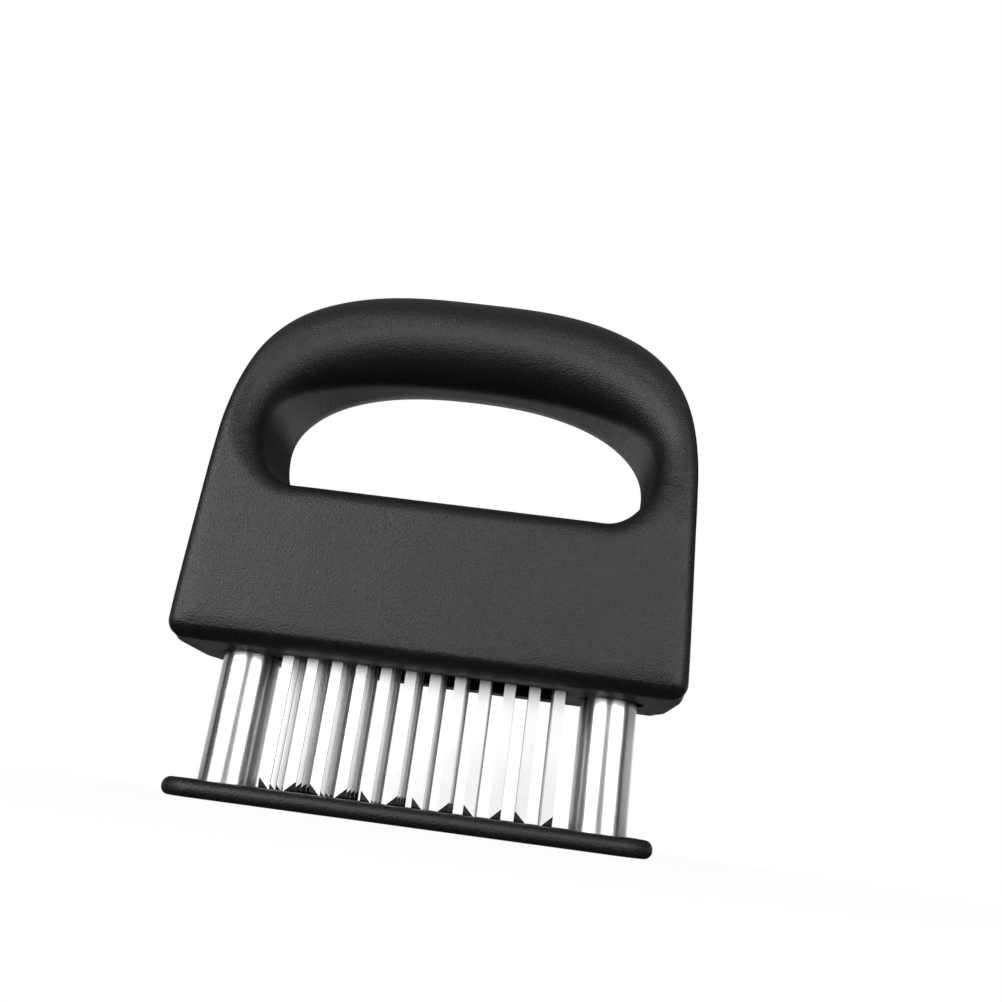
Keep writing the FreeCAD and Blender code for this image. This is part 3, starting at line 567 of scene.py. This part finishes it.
def hollow():
    """The space inside both shells, less their ribs and bosses."""
    space = from_rings("hollow", [level_ring(z, HOLLOW_HALF_WIDTH, INNER_Y, HOLLOW_CORNER)
                                  for z in (FLOOR_TOP_Z, BLOCK_TOP_Z - WALL)])
    for axis, reach in enumerate(HOLLOW_SLICE_REACH):
        sliced(space, axis, -reach, reach, HOLLOW_SLICE)
    boolean(space, handle_hollow(WALL), "UNION")
    ribs = [
        (-RAIL_HALF_LENGTH, RAIL_HALF_LENGTH, -RIB_ROOT_Y, -RAIL_INNER_Y, *RAIL_Z),
        (-RAIL_HALF_LENGTH, RAIL_HALF_LENGTH, RAIL_INNER_Y, RIB_ROOT_Y, *RAIL_Z),
        (-LEDGE_HALF_LENGTH, LEDGE_HALF_LENGTH, -RIB_ROOT_Y, LEDGE_FRONT_Y, *LEDGE_Z),
        (-LEDGE_HALF_LENGTH, LEDGE_HALF_LENGTH, PARTING_Y, RIB_ROOT_Y, *LEDGE_Z),
    ]
    for middle in (COLUMN_X, -COLUMN_X):
        ribs.append((middle - SHELF_HALF_LENGTH, middle + SHELF_HALF_LENGTH, -RIB_ROOT_Y, SHELF_BACK_Y,
                     *SHELF_Z))
    ribs.append((*LOCK_RIB_X, -LOCK_RIB_HALF_DEPTH, LOCK_RIB_HALF_DEPTH, *LOCK_RIB_Z))
    for rib in ribs:
        boolean(space, box_cutter(*rib), "DIFFERENCE")
    for x, z in SCREW_PLACES:
        boolean(space, rod_cutter(x, z, -BOSS_REACH_Y, BOSS_REACH_Y, BOSS_RADIUS), "DIFFERENCE")
    return space


def blade_window():
    """The opening in the underside that the blades pass, flared at its lower edge."""
    flare = BLADE_WINDOW_FLARE
    levels = [(CUT_START_Z, flare), (UNDERSIDE_Z, flare), (UNDERSIDE_Z + flare, 0.0),
              (FLOOR_TOP_Z + CUT_BEYOND, 0.0)]
    return from_rings("cutter", [
        level_ring(z, BLADE_WINDOW_HALF_WIDTH + wide, BLADE_WINDOW_HALF_DEPTH + wide,
                   BLADE_WINDOW_CORNER + wide, BLADE_GROUP_SHIFT)
        for z, wide in levels])


def housing_shells():
    """The front and back shell, hollow, with their ribs, bosses and holes."""
    skin = housing_outside()
    boolean(skin, hollow(), "DIFFERENCE")
    boolean(skin, blade_window(), "DIFFERENCE")
    for side in (-1, 1):
        column_hole = obround_cutter(side * COLUMN_X, CUT_START_Z, FLOOR_TOP_Z + CUT_BEYOND,
                                     COLUMN_RADIUS + COLUMN_HOLE_CLEARANCE, LOCK_TRAVEL,
                                     COLUMN_HOLE_FLARE)
        boolean(skin, column_hole, "DIFFERENCE")
    for x, z in SCREW_PLACES:
        shank = rod_cutter(x, z, SCREW_SEAT_Y - SCREW_LENGTH, THROUGH_Y, SCREW_RADIUS + SCREW_CLEARANCE)
        boolean(skin, shank, "DIFFERENCE")
        head = rod_cutter(x, z, SCREW_SEAT_Y, THROUGH_Y, SCREW_HEAD_RADIUS + SCREW_HEAD_CLEARANCE)
        boolean(skin, head, "DIFFERENCE")
    back = skin.copy()
    back.data = skin.data.copy()
    bpy.context.scene.collection.objects.link(back)
    for obj, low, high in ((skin, PARTING_Y - PARTING_GAP, CUT_HALF_DEPTH),
                           (back, -CUT_HALF_DEPTH, PARTING_Y + PARTING_GAP)):
        other_side = box_cutter(-CUT_HALF_WIDTH, CUT_HALF_WIDTH, low, high, *CUT_Z)
        sliced(other_side, 0, -CUT_HALF_WIDTH, CUT_HALF_WIDTH, CUT_SLICE)
        sliced(other_side, 2, *CUT_Z, CUT_SLICE)
        boolean(obj, other_side, "DIFFERENCE")
    skin.name = "front_shell_skin"
    back.name = "back_shell_skin"
    for obj in (skin, back):
        smooth_shading(obj)
    return skin, back


# Materials

def material(name):
    mat = bpy.data.materials.new(name)
    mat.use_nodes = True
    tree = mat.node_tree
    return mat, tree, tree.nodes["Principled BSDF"]


def node(tree, kind, **settings):
    made = tree.nodes.new(kind)
    for key, value in settings.items():
        setattr(made, key, value)
    return made


def object_noise(tree, scale, detail=3.0, roughness=0.5, stretch=(1, 1, 1)):
    """Noise in object space. scale counts cells in a metre."""
    place = node(tree, "ShaderNodeTexCoord")
    spread = node(tree, "ShaderNodeMapping")
    spread.inputs["Scale"].default_value = stretch
    tree.links.new(place.outputs["Object"], spread.inputs["Vector"])
    noise = node(tree, "ShaderNodeTexNoise")
    noise.inputs["Scale"].default_value = scale
    noise.inputs["Detail"].default_value = detail
    noise.inputs["Roughness"].default_value = roughness
    tree.links.new(spread.outputs["Vector"], noise.inputs["Vector"])
    return noise.outputs["Fac"]


def ramp(tree, source, stops):
    made = node(tree, "ShaderNodeValToRGB")
    while len(made.color_ramp.elements) < len(stops):
        made.color_ramp.elements.new(0.5)
    for element, (place, value) in zip(made.color_ramp.elements, stops):
        element.position = place
        if isinstance(value, (int, float)):
            value = (value, value, value)
        element.color = (*value, 1.0)
    tree.links.new(source, made.inputs["Fac"])
    return made.outputs["Color"]


def bump(tree, shader, source, strength, distance):
    made = node(tree, "ShaderNodeBump")
    made.inputs["Strength"].default_value = strength
    made.inputs["Distance"].default_value = distance
    tree.links.new(source, made.inputs["Height"])
    tree.links.new(made.outputs["Normal"], shader.inputs["Normal"])


def black_plastic(name, dark, light, rough, grain_scale, grain_strength, grain_depth):
    """Moulded black plastic with a fine grain. The depth of the grain is in metres."""
    mat, tree, shader = material(name)
    grain = object_noise(tree, grain_scale, 2.0, 0.6)
    cloud = object_noise(tree, 60.0, 4.0, 0.55)
    tree.links.new(ramp(tree, grain, [(0.35, dark), (0.72, light)]), shader.inputs["Base Color"])
    roughness = ramp(tree, cloud, [(0.3, rough - 0.03), (0.7, rough + 0.04)])
    tree.links.new(roughness, shader.inputs["Roughness"])
    bump(tree, shader, grain, grain_strength, grain_depth)
    return mat


def polished_steel(name, colour, rough_low, rough_high, stretch, scale, depth):
    """Bright steel with fine lines from polishing."""
    mat, tree, shader = material(name)
    shader.inputs["Metallic"].default_value = 1.0
    lines = object_noise(tree, scale, 3.0, 0.6, stretch)
    cloud = object_noise(tree, 90.0, 3.0, 0.5)
    low = tuple(0.93 * c for c in colour)
    tree.links.new(ramp(tree, cloud, [(0.3, low), (0.7, colour)]), shader.inputs["Base Color"])
    tree.links.new(ramp(tree, lines, [(0.3, rough_low), (0.7, rough_high)]), shader.inputs["Roughness"])
    bump(tree, shader, lines, 0.15, depth)
    return mat


FACE_NORMAL_LEAST = 0.96
# The darker side colour below is painted shade: it stands in for the shade in the narrow gaps between
# neighbouring blades.
SIDE_SHADE_COLOUR = (0.13, 0.13, 0.14, 1)
CUT_ROUGHNESS = (0.22, 0.22, 0.22, 1)


def blade_steel(name):
    """Polished faces, and cut sides and ground edges darkened with painted shade of the narrow gaps
    between blades, told apart by their normal.
    """
    mat = polished_steel(name, (0.95, 0.95, 0.96), rough_low=0.40, rough_high=0.48,
                         stretch=(1, 1, 0.05), scale=5000.0, depth=0.000004)
    tree = mat.node_tree
    shader = tree.nodes["Principled BSDF"]
    facing = node(tree, "ShaderNodeTexCoord")
    parts = node(tree, "ShaderNodeSeparateXYZ")
    tree.links.new(facing.outputs["Normal"], parts.inputs[0])
    level = node(tree, "ShaderNodeMath", operation="ABSOLUTE")
    tree.links.new(parts.outputs["Y"], level.inputs[0])
    polished = node(tree, "ShaderNodeMath", operation="GREATER_THAN")
    polished.inputs[1].default_value = FACE_NORMAL_LEAST
    tree.links.new(level.outputs[0], polished.inputs[0])
    # The sides and edges get the painted shade colour and a roughness of their own.
    for socket_name, cut in (("Base Color", SIDE_SHADE_COLOUR), ("Roughness", CUT_ROUGHNESS)):
        socket = shader.inputs[socket_name]
        mix = node(tree, "ShaderNodeMix", data_type="RGBA")
        mix.inputs["A"].default_value = cut
        tree.links.new(polished.outputs[0], mix.inputs["Factor"])
        tree.links.new(socket.links[0].from_socket, mix.inputs["B"])
        tree.links.new(mix.outputs["Result"], socket)
    return mat


ANY_WAY = (1, 1, 1)
MATERIALS = {
    "housing_plastic": black_plastic("housing_plastic", dark=0.001, light=0.010, rough=0.37,
                                     grain_scale=2400.0, grain_strength=1.0, grain_depth=0.00018),
    "guard_plastic": black_plastic("guard_plastic", dark=0.001, light=0.010, rough=0.42,
                                   grain_scale=2400.0, grain_strength=1.0, grain_depth=0.00018),
    "inner_plastic": black_plastic("inner_plastic", dark=0.008, light=0.012, rough=0.5,
                                   grain_scale=1400.0, grain_strength=0.15, grain_depth=0.00003),
    "bearing_plastic": black_plastic("bearing_plastic", dark=0.02, light=0.03, rough=0.4,
                                     grain_scale=1400.0, grain_strength=0.1, grain_depth=0.00002),
    "column_steel": polished_steel("column_steel", (0.86, 0.86, 0.87), rough_low=0.18, rough_high=0.28,
                                   stretch=(1, 1, 0.02), scale=4000.0, depth=0.000004),
    "blade_steel": blade_steel("blade_steel"),
    "pin_steel": polished_steel("pin_steel", (0.6, 0.6, 0.62), rough_low=0.25, rough_high=0.35,
                                stretch=(1, 0.05, 1), scale=3000.0, depth=0.000005),
    "spring_steel": polished_steel("spring_steel", (0.5, 0.5, 0.52), rough_low=0.25, rough_high=0.4,
                                   stretch=ANY_WAY, scale=1500.0, depth=0.00001),
    "screw_steel": polished_steel("screw_steel", (0.55, 0.55, 0.57), rough_low=0.25, rough_high=0.4,
                                  stretch=ANY_WAY, scale=1500.0, depth=0.00001),
}
SLOTS = {piece["node"]: piece["material_slot"] for piece in frame["record"]["subparts"]}


def dress(obj, mat):
    obj.data.materials.clear()
    obj.data.materials.append(mat)


for name, obj in NODES.items():
    mat = MATERIALS[SLOTS[name]]
    if obj.material_slots:
        for material_slot in obj.material_slots:
            material_slot.link = "OBJECT"
            material_slot.material = mat
    else:
        dress(obj, mat)

# Housing
front, back = housing_shells()
for obj, replaced in ((front, "front_shell"), (back, "back_shell")):
    dress(obj, MATERIALS["housing_plastic"])
    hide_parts(replaced)
    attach(obj, "housing")

# Columns
COLUMN_EDGE = 0.25
COLUMN_BOTTOM_Z = PLATE_THICKNESS - COLUMN_SOCKET_DEPTH
COLUMN_BORE = COLUMN_RADIUS - COLUMN_WALL
for side, name in ((-1, "left_column"), (1, "right_column")):
    profile = [(COLUMN_BORE, COLUMN_BOTTOM_Z), (COLUMN_RADIUS, COLUMN_BOTTOM_Z)]
    profile += [(COLUMN_RADIUS, z)
                for z in np.linspace(COLUMN_BOTTOM_Z + 2, COLUMN_TOP_Z - COLUMN_EDGE, 12)]
    profile += [(COLUMN_RADIUS - COLUMN_EDGE, COLUMN_TOP_Z), (COLUMN_BORE, COLUMN_TOP_Z)]
    tube = lathe(name + "_tube", profile, centre=(side * COLUMN_X, 0.0))
    smooth_shading(tube)
    dress(tube, MATERIALS["column_steel"])
    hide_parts(name)
    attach(tube, "guard")

# Springs, carried by the housing. In the tool they shorten towards their seats as the guard rises;
# their mesh here stays as it is.
for side, name in ((-1, "left_spring"), (1, "right_spring")):
    coil = bpy.data.objects.new(name + "_coil", NODES[name].data.copy())
    bpy.context.scene.collection.objects.link(coil)
    coil.matrix_world = NODES[name].matrix_world.copy()
    dress(coil, MATERIALS["spring_steel"])
    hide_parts(name)
    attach(coil, "housing")
    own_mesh(coil)

# Fine edges on the carried-over solids
BLADE_EDGE = 0.02
GUARD_EDGE = 0.12
EDGED = [(f"blade_row_{row}", BLADE_EDGE) for row in (1, 2, 3, 4)] + [("guard_plate", GUARD_EDGE)]
for name, width in EDGED:
    edge = NODES[name].modifiers.new("edge", "BEVEL")
    edge.width = width * MM
    edge.segments = 2
    edge.limit_method = "ANGLE"
    edge.angle_limit = math.radians(35)


# Floor and backdrop

def seen_as_background(tree):
    """1 for rays from the camera, from mirrors and through glass, else 0."""
    path = node(tree, "ShaderNodeLightPath")
    mirrored = node(tree, "ShaderNodeMath", operation="MAXIMUM")
    tree.links.new(path.outputs["Is Camera Ray"], mirrored.inputs[0])
    tree.links.new(path.outputs["Is Glossy Ray"], mirrored.inputs[1])
    through_glass = node(tree, "ShaderNodeMath", operation="MAXIMUM")
    tree.links.new(mirrored.outputs[0], through_glass.inputs[0])
    tree.links.new(path.outputs["Is Transmission Ray"], through_glass.inputs[1])
    return through_glass.outputs[0]


PAPER_GREY = 0.82
SHADOW_SHARE = 0.06
SHADOW_FULL = 0.07
SHADOW_GONE = 0.17
FLOOR_REACH = 4000.0
ROOM_GREY = 0.4


def white_paper(name):
    """White paper that keeps a share of the shadow on it near the tool, less and less further out."""
    mat, tree, shader = material(name)
    tree.nodes.remove(shader)
    mix = node(tree, "ShaderNodeMixShader")
    paper = node(tree, "ShaderNodeBsdfDiffuse")
    paper.inputs["Color"].default_value = (PAPER_GREY, PAPER_GREY, PAPER_GREY, 1)
    glow = node(tree, "ShaderNodeEmission")
    glow.inputs["Strength"].default_value = 1.0
    place = node(tree, "ShaderNodeTexCoord")
    reach = node(tree, "ShaderNodeVectorMath", operation="LENGTH")
    tree.links.new(place.outputs["Object"], reach.inputs[0])
    share = node(tree, "ShaderNodeMapRange")
    share.inputs["From Min"].default_value = SHADOW_FULL
    share.inputs["From Max"].default_value = SHADOW_GONE
    share.inputs["To Min"].default_value = 1.0 - SHADOW_SHARE
    share.inputs["To Max"].default_value = 1.0
    tree.links.new(reach.outputs["Value"], share.inputs["Value"])
    seen = node(tree, "ShaderNodeMath", operation="MULTIPLY")
    tree.links.new(share.outputs["Result"], seen.inputs[1])
    tree.links.new(seen_as_background(tree), seen.inputs[0])
    tree.links.new(seen.outputs[0], mix.inputs["Fac"])
    tree.links.new(paper.outputs[0], mix.inputs[1])
    tree.links.new(glow.outputs[0], mix.inputs[2])
    tree.links.new(mix.outputs[0], tree.nodes["Material Output"].inputs["Surface"])
    return mat


def sheet(name, x0, x1, y0, y1, z):
    """A flat, level sheet."""
    return new_object(name, [(x0, y0, z), (x1, y0, z), (x1, y1, z), (x0, y1, z)], [(0, 1, 2, 3)])


floor = sheet("floor", -FLOOR_REACH, FLOOR_REACH, -FLOOR_REACH, FLOOR_REACH, 0.0)
dress(floor, white_paper("floor_white"))

world = bpy.data.worlds.new("studio")
bpy.context.scene.world = world
world.use_nodes = True
tree = world.node_tree
tree.nodes.clear()
out = node(tree, "ShaderNodeOutputWorld")
mix = node(tree, "ShaderNodeMixShader")
room = node(tree, "ShaderNodeBackground")
room.inputs["Color"].default_value = (ROOM_GREY, ROOM_GREY, ROOM_GREY, 1)
room.inputs["Strength"].default_value = 1.0
paper = node(tree, "ShaderNodeBackground")
paper.inputs["Color"].default_value = (1, 1, 1, 1)
tree.links.new(seen_as_background(tree), mix.inputs["Fac"])
tree.links.new(room.outputs[0], mix.inputs[1])
tree.links.new(paper.outputs[0], mix.inputs[2])
tree.links.new(mix.outputs[0], out.inputs["Surface"])


# Light: two softboxes in front with a gap between them, in a dim room that is open at the back.
# Azimuth 0 is the front, and grows to the right. Angles are in degrees, distances in millimetres.
ROOM_RADIUS = 1500.0
SOFTBOX_DISTANCE = 1100.0
TABLE_HALF_WIDTH = 1400.0
TABLE_BACK_Y = 450.0
TABLE_Z = 0.1


def direction(azimuth, elevation):
    """The unit vector from the tool towards an azimuth and elevation."""
    turn = math.radians(azimuth)
    rise = math.radians(elevation)
    return Vector((math.sin(turn) * math.cos(rise), -math.cos(turn) * math.cos(rise), math.sin(rise)))


def as_card(obj, grey):
    """Makes a sheet a glowing card that mirrors see and the camera doesn't."""
    mat, tree, shader = material(obj.name)
    tree.nodes.remove(shader)
    glow = node(tree, "ShaderNodeEmission")
    glow.inputs["Color"].default_value = (grey, grey, grey, 1)
    tree.links.new(glow.outputs[0], tree.nodes["Material Output"].inputs["Surface"])
    dress(obj, mat)
    obj.visible_camera = False
    obj.visible_diffuse = False
    obj.visible_shadow = False


def curved_card(name, azimuths, elevations, grey, steps=12):
    """A card on a part of a sphere round the tool."""
    verts = []
    for rise in range(steps + 1):
        for turn in range(steps + 1):
            azimuth = azimuths[0] + (azimuths[1] - azimuths[0]) * turn / steps
            elevation = elevations[0] + (elevations[1] - elevations[0]) * rise / steps
            verts.append(direction(azimuth, elevation) * ROOM_RADIUS)
    faces = []
    for rise in range(steps):
        for turn in range(steps):
            base = rise * (steps + 1) + turn
            faces.append((base, base + 1, base + steps + 2, base + steps + 1))
    as_card(new_object(name, verts, faces), grey)


def softbox(name, azimuth, elevation, width, height, radiance):
    """An area lamp that looks at the tool, its sizes as angles."""
    place = direction(azimuth, elevation) * SOFTBOX_DISTANCE * MM
    size = [2 * math.tan(math.radians(angle / 2)) * SOFTBOX_DISTANCE * MM for angle in (width, height)]
    data = bpy.data.lights.new(name, "AREA")
    data.shape = "RECTANGLE"
    data.size, data.size_y = size
    data.energy = radiance * math.pi * size[0] * size[1]
    lamp = bpy.data.objects.new(name, data)
    bpy.context.scene.collection.objects.link(lamp)
    lamp.location = place
    lamp.rotation_euler = (-place).to_track_quat("-Z", "Y").to_euler()
    lamp.visible_camera = False


softbox("left_softbox", -38.5, 17.5, width=51.0, height=35.0, radiance=4.2)
softbox("right_softbox", 36.0, 17.5, width=48.0, height=35.0, radiance=3.0)
curved_card("front_card", (-64.0, 60.0), (-1.0, 40.0), grey=0.3)
curved_card("left_card", (-100.0, -64.0), (-1.0, 40.0), grey=0.04)
curved_card("right_card", (60.0, 85.0), (-1.0, 40.0), grey=0.04)
curved_card("left_back_card", (-140.0, -100.0), (-1.0, 14.0), grey=0.5)
curved_card("right_back_card", (85.0, 140.0), (-1.0, 14.0), grey=0.5)
curved_card("back_card", (85.0, 260.0), (8.0, 40.0), grey=0.05)
curved_card("roof_card", (-180.0, 180.0), (40.0, 90.0), grey=0.22, steps=24)
table = sheet("table_card", -TABLE_HALF_WIDTH, TABLE_HALF_WIDTH, -TABLE_HALF_WIDTH, TABLE_BACK_Y,
              TABLE_Z)
as_card(table, grey=0.03)

# Camera, as solved from the photograph's perspective
CAMERA_PLACE = (0.02271, -0.2388, 0.00535)
CAMERA_RIGHT = Vector((0.99181449, 0.00359709, 0.12763648))
CAMERA_DOWN = Vector((0.12000923, 0.31513871, -0.94142731))
CAMERA_AHEAD = Vector((-0.0436096, 0.9490388, 0.31212746))
data = bpy.data.cameras.new("camera")
data.sensor_width = 36.0
data.lens = 34.0
data.clip_start = 0.01
camera = bpy.data.objects.new("camera", data)
bpy.context.scene.collection.objects.link(camera)
turn = Matrix((CAMERA_RIGHT, -CAMERA_DOWN, -CAMERA_AHEAD)).transposed().to_4x4()
camera.matrix_world = Matrix.Translation(CAMERA_PLACE) @ turn
bpy.context.scene.camera = camera

bpy.context.scene.view_settings.view_transform = "Standard"
